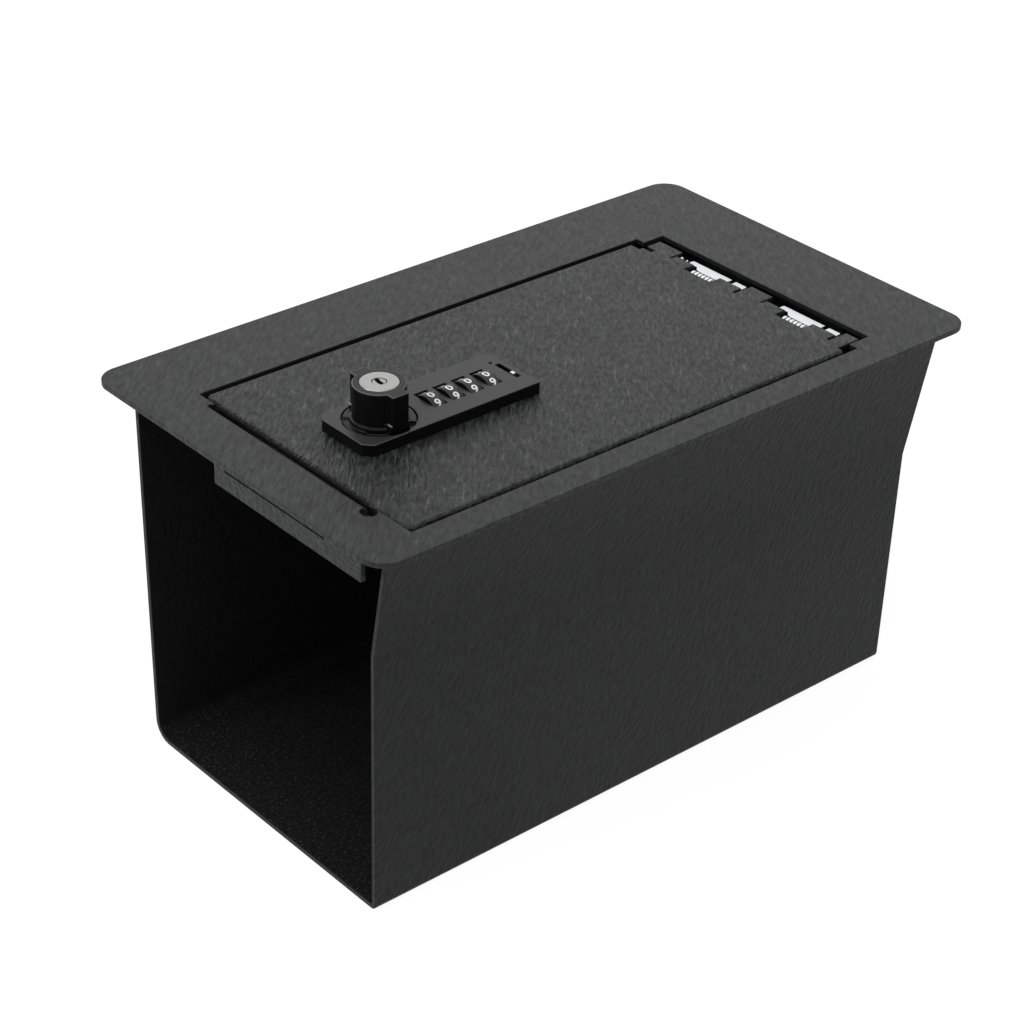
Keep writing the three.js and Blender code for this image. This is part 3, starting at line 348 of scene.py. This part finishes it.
def skinMaterial(name):
    skin = skins[name]
    made, tree, shader = newMaterial(
        name, IOR=smoothSkin["ior"], Roughness=skin["roughness"], Specular_IOR_Level=skin["specular"],
        Base_Color=toLinear(skin["colour"]))
    spots = addNode(tree, "ShaderNodeTexCoord")
    place = spots.outputs["Object"]
    peel = addNode(tree, "ShaderNodeTexNoise", {
        "Vector": place, "Scale": 1 / (skin["grain"] * mm), "Detail": 2.0})
    bump = addNode(tree, "ShaderNodeBump", {
        "Height": peel.outputs["Fac"], "Strength": smoothSkin["peelStrength"],
        "Distance": smoothSkin["peelDepth"] * mm})
    tree.links.new(bump.outputs["Normal"], shader.inputs["Normal"])
    if "topSheen" not in skin:
        return made
    # Painted sheen on faces that look up, and a painted highlight on the corners of one side.
    upward = addNode(tree, "ShaderNodeVectorMath", {0: spots.outputs["Normal"], 1: (0, 0, 1)},
                     operation="DOT_PRODUCT")
    begins, full = smoothSkin["topSheenLevels"]
    sheen = addNode(tree, "ShaderNodeMapRange", {
        "Value": upward.outputs["Value"], "From Min": begins, "From Max": full})
    base = addNode(tree, "ShaderNodeMix", {
        "Factor": sheen.outputs[0], "A": toLinear(skin["colour"]), "B": toLinear(skin["topSheen"])},
        data_type="RGBA")
    corner = addNode(tree, "ShaderNodeMath", {
        0: upward.outputs["Value"], 1: smoothSkin["cornerTurn"], 2: smoothSkin["cornerRange"]},
        operation="COMPARE")
    axis, limit, above = skin["edgeHighlightSide"]
    spot = addNode(tree, "ShaderNodeSeparateXYZ", {"Vector": place})
    side = addNode(tree, "ShaderNodeMath", {0: spot.outputs[axis], 1: limit * mm},
                   operation="GREATER_THAN" if above else "LESS_THAN")
    highlighted = addNode(tree, "ShaderNodeMath", {0: corner.outputs[0], 1: side.outputs[0]}, operation="MULTIPLY")
    shown = addNode(tree, "ShaderNodeMix", {
        "Factor": highlighted.outputs[0], "A": base.outputs[2], "B": toLinear(skin["edgeHighlight"])}, data_type="RGBA")
    tree.links.new(shown.outputs[2], shader.inputs["Base Color"])
    return made


castBlack, knobBlack, ledgeGlint, keywayShade, wheelTread, wheelFlankShade = (
    skinMaterial(name) for name in skins)

# White ink, pad-printed on the wheels: flat and slightly chalky.
inkWhite = newMaterial("whitePadPrintInk", Roughness=0.55, Base_Color=toLinear("#fdfdfb"))[0]

# Metals. scratch: mm across the marks. strength: how strongly they show.
metalMarks = {
    "depth": 0.1,             # mm
    "levels": (0.3, 0.7),     # of the noise, from the smoothest spots to the dullest
    "smoother": 0.05,
    "duller": 0.06,
}
metals = {
    # Zinc plate on pressed steel, bright dipped: pale blue-white metal with a faint grain.
    "brightZincPlateOnSteel": {"colour": "#c9cbcd", "roughness": 0.3, "scratch": 0.4, "strength": 0.06},
    # Drawn spring wire, zinc plated: paler and softer, with fine marks from the draw.
    "zincPlatedSpringWire": {"colour": "#eeefef", "roughness": 0.38, "scratch": 0.3, "strength": 0.06},
    # Nickel on the key cylinder and plug, satin finished: an even, soft glow.
    "satinNickelPlate": {"colour": "#969694", "roughness": 0.34, "scratch": 0.5, "strength": 0.12},
    # Die-cast zinc of the lock body and spindle, left bare: dull and slightly uneven.
    "bareZincCasting": {"colour": "#8e9092", "roughness": 0.48, "scratch": 0.8, "strength": 0.15},
}


def metalMaterial(name):
    metal = metals[name]
    made, tree, shader = newMaterial(name, Metallic=1.0, Roughness=metal["roughness"],
                                     Base_Color=toLinear(metal["colour"]))
    place = addNode(tree, "ShaderNodeTexCoord").outputs["Object"]
    marks = addNode(tree, "ShaderNodeTexNoise", {
        "Vector": place, "Scale": 1 / (metal["scratch"] * mm), "Detail": 3.0})
    bump = addNode(tree, "ShaderNodeBump", {
        "Height": marks.outputs["Fac"], "Strength": metal["strength"], "Distance": metalMarks["depth"] * mm})
    tree.links.new(bump.outputs["Normal"], shader.inputs["Normal"])
    smoothest, dullest = metalMarks["levels"]
    rough = addNode(tree, "ShaderNodeMapRange", {
        "Value": marks.outputs["Fac"], "From Min": smoothest, "From Max": dullest,
        "To Min": metal["roughness"] - metalMarks["smoother"],
        "To Max": metal["roughness"] + metalMarks["duller"]})
    tree.links.new(rough.outputs["Result"], shader.inputs["Roughness"])
    return made


zincPlate, springSteel, satinNickel, bareCasting = (metalMaterial(name) for name in metals)

finishes = {    # the wheels are nylon, and all the rest is zinc plated
    "body_shell": boxCoat, "rear_wall": boxCoat, "top_plate": plateCoat, "lid": lidCoat,
    "lock_plate": castBlack, "knob": knobBlack, "key_cylinder": satinNickel, "key_plug": satinNickel,
    "hinge_1_bracket": boxCoat, "hinge_2_bracket": boxCoat, "lock_body": bareCasting, "spindle": bareCasting,
}
for name, node in nodes.items():
    otherFinish = wheelTread if name.startswith("number_wheel") else zincPlate
    finish = finishes.get(name, otherFinish)
    node.data.materials.clear()
    node.data.materials.append(finish)
print("materials on", len(nodes), "nodes")


# Pressed, cast and coated pieces have no knife edges: each gets its own small round, in mm.
edgeWidths = {"body_shell": 0.35, "rear_wall": 0.3, "top_plate": 0.25, "lid": 0.35, "lock_plate": 0.35,
              "key_cylinder": 0.2, "key_plug": 0.1, "latch": 0.3, "lock_body": 0.4,
              "code_change_slider": 0.3}
edges = {
    "others": 0.12,        # mm, the round of a piece that isn't named above
    "weld": 0.002,         # mm, points closer than this are one
    "flat": 0.6,           # degrees, faces this near to one plane are one
    "sharp": 32,           # degrees, only edges that turn more than this are rounded
    "segments": 2,
    "evenness": 100,
}
knobCasting = {            # the die-cast knob is soft all over
    "grain": 0.24,         # mm, fineness of its skin
    "softening": 5,        # passes
    "strength": 0.5,       # of each pass
    "kept": 0.35,          # share of the skin's faces
}


def softenEdges(node, width):
    weld = node.modifiers.new("weld", "WELD")
    weld.merge_threshold = edges["weld"] * mm
    flat = node.modifiers.new("flat", "DECIMATE")
    flat.decimate_type = "DISSOLVE"
    flat.angle_limit = math.radians(edges["flat"])
    bevel = node.modifiers.new("bevel", "BEVEL")
    bevel.width = width * mm
    bevel.segments = edges["segments"]
    bevel.limit_method = "ANGLE"
    bevel.angle_limit = math.radians(edges["sharp"])
    bevel.use_clamp_overlap = False
    bevel.face_strength_mode = "FSTR_ALL"
    even = node.modifiers.new("even", "WEIGHTED_NORMAL")
    even.weight = edges["evenness"]
    even.use_face_influence = True


def softenCasting(node):
    skin = node.modifiers.new("skin", "REMESH")
    skin.mode = "VOXEL"
    skin.voxel_size = knobCasting["grain"] * mm
    skin.use_smooth_shade = True
    soft = node.modifiers.new("soft", "SMOOTH")
    soft.factor = knobCasting["strength"]
    soft.iterations = knobCasting["softening"]
    fewer = node.modifiers.new("fewer", "DECIMATE")
    fewer.ratio = knobCasting["kept"]


for name, node in nodes.items():
    for layer in ("custom_normal", "sharp_edge"):
        if layer in node.data.attributes:
            node.data.attributes.remove(node.data.attributes[layer])
    for polygon in node.data.polygons:
        polygon.use_smooth = True
    if name == "knob":
        softenCasting(node)
    else:
        softenEdges(node, edgeWidths.get(name, edges["others"]))
print("edges softened")


# Number wheels, moulded nylon: a smooth tread with grip notches round one rim, and the numerals on it.
# 0 is on top and 9 on the near side.
wheels = {
    "bore": 1.8,           # radius, mm
    "wider": 0.2,          # mm a side, so that it fills its window
    "round": 0.35,         # mm, at both rims
    "cut": 0.3,            # share of the round that its middle point stands in from the corner
    "rim": 0.9,            # mm, width of the notched rim
    "ramp": 0.1,           # mm, from the tread into a notch
    "notches": 20,
    "notchDepth": 0.35,
    "notchShare": 0.24,    # of the way from notch to notch
    "steps": 240,
}
numerals = {
    "height": 4.3,
    "width": 3.0,
    "proud": 0.06,          # mm that the ink stands above the tread
    "buried": 0.1,          # mm that each reaches into the tread
    "stroke": 0.02,         # of the font's size, added to the letter's weight
    "slice": 0.45,          # mm, so that they follow the tread
    "apart": 36,            # degrees from digit to digit
    "sameInk": 0.002,       # of the font's size, points closer than this are one
    "weld": 0.05,           # mm
    "sliver": 0.03,         # mm, faces thinner than this are dropped
}


def wheelMesh(name, centre, radius, half):
    edge, cut = wheels["round"], wheels["round"] * wheels["cut"]
    outline = [(wheels["bore"], -half), (radius - edge, -half), (radius - cut, -half + cut),
               (radius, -half + edge), (radius, half - wheels["rim"] - wheels["ramp"]),
               (radius, half - wheels["rim"]), (radius, half - edge), (radius - cut, half - cut),
               (radius - edge, half), (wheels["bore"], half)]
    notched, tread = range(5, 8), range(2, 7)    # of the outline's points
    count = len(outline)
    made = bmesh.new()
    rows = []
    for step in range(wheels["steps"]):
        angle = 2 * math.pi * step / wheels["steps"]
        along = (step * wheels["notches"] / wheels["steps"] + 0.5) % 1
        sunk = wheels["notchDepth"] if abs(along - 0.5) < wheels["notchShare"] / 2 else 0
        row = []
        for at, (out, x) in enumerate(outline):
            low = min(out, (radius - sunk)) if at in notched else out
            row.append(made.verts.new((centre.x + x * mm, centre.y + low * mm * math.sin(angle),
                                       centre.z + low * mm * math.cos(angle))))
        rows.append(row)
    for here, there in zip(rows, rows[1:] + rows[:1]):
        for i in range(count):
            face = made.faces.new((here[i], here[(i + 1) % count], there[(i + 1) % count], there[i]))
            # Flank faces take the darker nylon, as painted shade.
            face.material_index = 0 if i in tread else 1
            face.smooth = i in tread
    return newPiece(name, made, [wheelTread, wheelFlankShade])


def numeralMesh(digit):
    text = bpy.data.curves.new("digit", "FONT")
    text.body = str(digit)
    text.size = 1
    text.offset = numerals["stroke"]
    holder = putInScene("digit", text)
    bpy.context.view_layer.update()
    mesh = bpy.data.meshes.new_from_object(holder)
    bpy.data.objects.remove(holder)
    return mesh


def numeralStrip(name, centre, radius):
    zero = numeralMesh(0)
    lows = [min(v.co[i] for v in zero.vertices) for i in (0, 1)]
    highs = [max(v.co[i] for v in zero.vertices) for i in (0, 1)]
    scaleX = numerals["width"] * mm / (highs[0] - lows[0])
    scaleY = numerals["height"] * mm / (highs[1] - lows[1])
    middleY = (lows[1] + highs[1]) / 2
    cuts = round(numerals["height"] / numerals["slice"] / 2) + 1
    whole = bmesh.new()
    for digit in range(10):
        part = bmesh.new()
        part.from_mesh(numeralMesh(digit))
        bmesh.ops.remove_doubles(part, verts=part.verts[:], dist=numerals["sameInk"])
        left = min(v.co.x for v in part.verts)
        wide = max(v.co.x for v in part.verts)
        for v in part.verts:
            v.co = Vector(((v.co.x - (left + wide) / 2) * scaleX, (v.co.y - middleY) * scaleY, 0))
        for cut in range(-cuts, cuts + 1):
            geometry = part.verts[:] + part.edges[:] + part.faces[:]
            bmesh.ops.bisect_plane(part, geom=geometry, plane_co=(0, cut * numerals["slice"] * mm, 0),
                                   plane_no=(0, 1, 0))
        bmesh.ops.remove_doubles(part, verts=part.verts[:], dist=numerals["weld"] * mm)
        bmesh.ops.triangulate(part, faces=part.faces[:])
        bmesh.ops.dissolve_degenerate(part, dist=numerals["sliver"] * mm, edges=part.edges[:])
        lift = bmesh.ops.extrude_face_region(part, geom=part.faces[:])
        raised = {v for v in lift["geom"] if isinstance(v, bmesh.types.BMVert)}
        turn = math.radians(numerals["apart"] * digit)
        for v in part.verts:
            angle = turn + v.co.y / (radius * mm)
            out = (radius + (numerals["proud"] if v in raised else -numerals["buried"])) * mm
            v.co = Vector((centre.x + v.co.x, centre.y + out * math.sin(angle),
                           centre.z + out * math.cos(angle)))
        bmesh.ops.recalc_face_normals(part, faces=part.faces[:])
        for face in part.faces:
            face.smooth = False
        rest = bpy.data.meshes.new("part")
        part.to_mesh(rest)
        whole.from_mesh(rest)
    mesh = bpy.data.meshes.new(name)
    whole.to_mesh(mesh)
    mesh.materials.append(inkWhite)
    return putInScene(name, mesh)


for number in range(1, 5):
    low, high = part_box(f"number_wheel_{number}")
    centre, radius = (low + high) / 2, (high.z - low.z) / 2 / mm
    half = (high.x - low.x) / 2 / mm + wheels["wider"]
    wheel = wheelMesh(f"wheel_{number}_moulding", centre, radius, half)
    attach(wheel, f"wheel_{number}")
    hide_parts(f"number_wheel_{number}")
    strip = numeralStrip(f"wheel_{number}_numerals", centre, radius)
    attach(strip, f"wheel_{number}")
print("number wheels and numerals made")


# Hinge springs, drawn wire: one smooth round wire each, wound on the pin.
springs = {
    "wire": 0.75,             # radius, mm
    "mean": 2.85,             # radius of the coil to the wire's middle, mm
    "pitch": 2.36,            # mm from turn to turn
    "turns": 6,
    "lidLeg": (-14, 0.35),    # end of the leg under the lid, from the pin, mm
    "bracketLeg": -10.7,      # how far down the other leg reaches
    "perTurn": 28,            # points in each turn
    "roundness": 5,           # of the wire's section
}


def springWire(number):
    pinLow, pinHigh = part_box(f"hinge_{number}_pin")
    wireLow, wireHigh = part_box(f"hinge_{number}_spring")
    pin = (pinLow + pinHigh) / 2
    middle = (wireLow.y + wireHigh.y) / 2
    legX, legZ = springs["lidLeg"]
    start = math.atan2(legZ, legX) + math.acos(springs["mean"] / math.hypot(legX, legZ))
    end = math.pi + 2 * math.pi * springs["turns"]
    half = (springs["turns"] + 0.5 - start / (2 * math.pi)) * springs["pitch"] / 2
    steps = round((end - start) / (2 * math.pi) * springs["perTurn"])
    spots = [(legX, half, legZ)]
    spots += [(springs["mean"] * math.cos(start + (end - start) * i / steps), half - 2 * half * i / steps,
               springs["mean"] * math.sin(start + (end - start) * i / steps)) for i in range(steps + 1)]
    spots.append((-springs["mean"], -half, springs["bracketLeg"]))
    curve = bpy.data.curves.new(f"hinge_{number}_wire", "CURVE")
    curve.dimensions = "3D"
    curve.bevel_depth = springs["wire"] * mm
    curve.bevel_resolution = springs["roundness"]
    curve.use_fill_caps = True
    line = curve.splines.new("POLY")
    line.points.add(len(spots) - 1)
    for point, (x, y, z) in zip(line.points, spots):
        point.co = (pin.x + x * mm, middle + y * mm, pin.z + z * mm, 1)
    line.use_smooth = True
    wire = putInScene(f"hinge_{number}_wire", curve)
    curve.materials.append(springSteel)
    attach(wire, "lid_assembly")
    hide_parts(f"hinge_{number}_spring")


for number in (1, 2):
    springWire(number)
print("springs wound")

# Small pieces that the photograph shows bright or dark: the two ledges beside the knob, pale grey as painted
# glints, the keyway, a black sheet on the plug as painted shade, the dimple on the key plug, and the pin
# behind hinge 1. All in mm.
ledges = {
    "middles": {"far": (-111.05, -0.5, 191.0), "near": (-110.2, -27.0, 191.3)},
    "size": (0.3, 3.2, 1.1),
    "taper": 0.6,             # size of the side towards the front against the one behind it
    "round": 0.06,
}
keyFace = {
    "axis": (-105.5, -13.8),
    "face": 205.7,
    "keyway": ((-0.3, 2.9), (0.7, 2.8), (1.35, 2.5), (1.25, 1.4), (0.65, -0.6), (0.15, -2.2), (-0.1, -2.8),
               (-0.85, -2.7), (-1.35, -1.6), (-1.3, 0.0), (-0.9, 1.6)),
    "thickness": 0.04,
    "dimple": (1.5, -2.05),
    "dimpleRadius": 0.52,
    "dimpleHeight": 0.3,
    "dimpleFoot": 0.05,       # how deep it sits in the face
    "sides": 20,
}
stopPin = {                   # along y, from the bracket's far ear: (y, radius, bright)
    "axis": (124.0, 177.0),
    "profile": ((30.6, 0.45, 0), (33.7, 0.45, 0), (33.7, 0.95, 1), (34.3, 0.95, 1), (34.3, 0.45, 0),
                (36.9, 0.45, 0), (36.9, 0.85, 1), (37.1, 1.1, 1), (38.6, 1.1, 1), (38.9, 0.8, 1),
                (38.9, 0.05, 1)),
    "sides": 24,
}


def turned(name, profile, spot, materials, sides):
    made = bmesh.new()
    rings = []
    for along, radius, bright in profile:
        rings.append(([made.verts.new([c * mm for c in spot(along, radius, 2 * math.pi * i / sides)])
                       for i in range(sides)], bright))
    for (here, bright), (there, brightThere) in zip(rings, rings[1:]):
        for i in range(sides):
            face = made.faces.new((here[i], here[(i + 1) % sides], there[(i + 1) % sides], there[i]))
            face.material_index = max(bright, brightThere)
            face.smooth = True
    made.faces.new(rings[0][0])
    made.faces.new(rings[-1][0])
    return newPiece(name, made, materials)


for end, middle in ledges["middles"].items():
    made = bmesh.new()
    bmesh.ops.create_cube(made, size=1)
    for v in made.verts:
        narrow = ledges["taper"] if v.co.x < 0 else 1
        v.co = Vector([(middle[i] + v.co[i] * ledges["size"][i] * (narrow if i else 1)) * mm
                       for i in range(3)])
    bmesh.ops.bevel(made, geom=made.edges[:], offset=ledges["round"] * mm, segments=2, affect="EDGES")
    ledge = newPiece(f"knob_ledge_{end}", made, [ledgeGlint])
    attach(ledge, "knob_and_latch")

keyX, keyY = keyFace["axis"]
# The keyway's painted shade: a thin black sheet on the plug's face.
made = bmesh.new()
sheet = made.faces.new([made.verts.new(((keyX + x) * mm, (keyY + y) * mm, keyFace["face"] * mm))
                        for x, y in keyFace["keyway"]])
lift = bmesh.ops.extrude_face_region(made, geom=[sheet])
for v in lift["geom"]:
    if isinstance(v, bmesh.types.BMVert):
        v.co.z += keyFace["thickness"] * mm
keyway = newPiece("key_plug_keyway_shade", made, [keywayShade])
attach(keyway, "key_plug")

dimpleX, dimpleY = keyX + keyFace["dimple"][0], keyY + keyFace["dimple"][1]
dome = [(keyFace["face"] - keyFace["dimpleFoot"], keyFace["dimpleRadius"], 0)]
for degrees in (0, 20, 40, 60, 80):
    dome.append((keyFace["face"] + keyFace["dimpleHeight"] * math.sin(math.radians(degrees)),
                 keyFace["dimpleRadius"] * math.cos(math.radians(degrees)), 0))
dimple = turned("key_plug_dimple", dome,
                lambda z, r, a: (dimpleX + r * math.cos(a), dimpleY + r * math.sin(a), z), [satinNickel],
                keyFace["sides"])
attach(dimple, "key_plug")

pinX, pinZ = stopPin["axis"]
stop = turned("hinge_1_stop_pin", stopPin["profile"],
              lambda y, r, a: (pinX + r * math.cos(a), y, pinZ + r * math.sin(a)), [boxCoat, springSteel],
              stopPin["sides"])
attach(stop, "frame")
print("small pieces made")

# Floor, world and lamps of a plain white studio.
studio = {
    "floor": "#f4f4f4",
    "reach": 6,            # metres from the middle to the paper's edges
    "below": 0.0002,       # metres that the paper lies under the box, so that the two share no plane
    "lift": 0.8,           # share of the paper's own white that the camera sees
    "paper": 1.15,
    "world": 0.42,
    "lamps": {             # place and aim in metres, size in metres, power in watts
        "keyLight": ((-1.8, 0.5, 1.0), (0, 0, 0.1), 0.7, 12.0),
        "topLight": ((-0.55, -0.2, 1.45), (-0.1, 0, 0.1), 1.2, 5.5),
        "backLight": ((1.3, 1.5, 1.4), (0, 0, 0.15), 2.3, 7.0),
        "frontLight": ((-1.2, -1.1, 1.0), (0, 0, 0.1), 0.4, 2.0),
    },
}


# The camera, and rays off shiny or clear surfaces, see a white background; other rays get the studio's level.
def seenDirectly(tree):
    rays = addNode(tree, "ShaderNodeLightPath")
    seen = addNode(tree, "ShaderNodeMath", {
        0: rays.outputs["Is Camera Ray"], 1: rays.outputs["Is Glossy Ray"]}, operation="MAXIMUM")
    return addNode(tree, "ShaderNodeMath", {0: seen.outputs[0], 1: rays.outputs["Is Transmission Ray"]},
                   operation="MAXIMUM").outputs[0]


def softbox(name, place, aim, size, power):
    light = bpy.data.lights.new(name, "AREA")
    light.shape = "SQUARE"
    light.size = size
    light.energy = power
    lamp = putInScene(name, light)
    lamp.location = place
    lamp.rotation_mode = "QUATERNION"
    lamp.rotation_quaternion = (Vector(aim) - Vector(place)).to_track_quat("-Z", "Y")


reach, level = studio["reach"], -studio["below"]
floorMesh = bpy.data.meshes.new("floor")
floorMesh.from_pydata([(-reach, -reach, level), (reach, -reach, level), (reach, reach, level),
                       (-reach, reach, level)], [], [(0, 1, 2, 3)])
floor = putInScene("floor", floorMesh)
floorPaper, floorTree, floorShader = newMaterial(
    "whitePaperSweep", Roughness=0.9, Base_Color=toLinear(studio["floor"]), Specular_IOR_Level=0.1)
share = addNode(floorTree, "ShaderNodeMath", {0: seenDirectly(floorTree), 1: studio["lift"]},
                operation="MULTIPLY")
glow = addNode(floorTree, "ShaderNodeEmission", {"Color": (1, 1, 1, 1), "Strength": studio["paper"]})
mixed = addNode(floorTree, "ShaderNodeMixShader", {
    0: share.outputs[0], 1: floorShader.outputs[0], 2: glow.outputs[0]})
floorTree.links.new(mixed.outputs[0], floorTree.nodes["Material Output"].inputs["Surface"])
floorMesh.materials.append(floorPaper)
floor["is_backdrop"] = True

world = bpy.data.worlds.new("studio")
world.use_nodes = True
background = world.node_tree.nodes["Background"]
worldLevel = addNode(world.node_tree, "ShaderNodeMapRange", {
    "Value": seenDirectly(world.node_tree), "To Min": studio["world"], "To Max": 1.0})
background.inputs["Color"].default_value = (1, 1, 1, 1)
world.node_tree.links.new(worldLevel.outputs["Result"], background.inputs["Strength"])
bpy.context.scene.world = world

for name, lamp in studio["lamps"].items():
    softbox(name, *lamp)
bpy.context.scene.view_settings.view_transform = "Standard"
print("studio ready")

low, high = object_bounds()
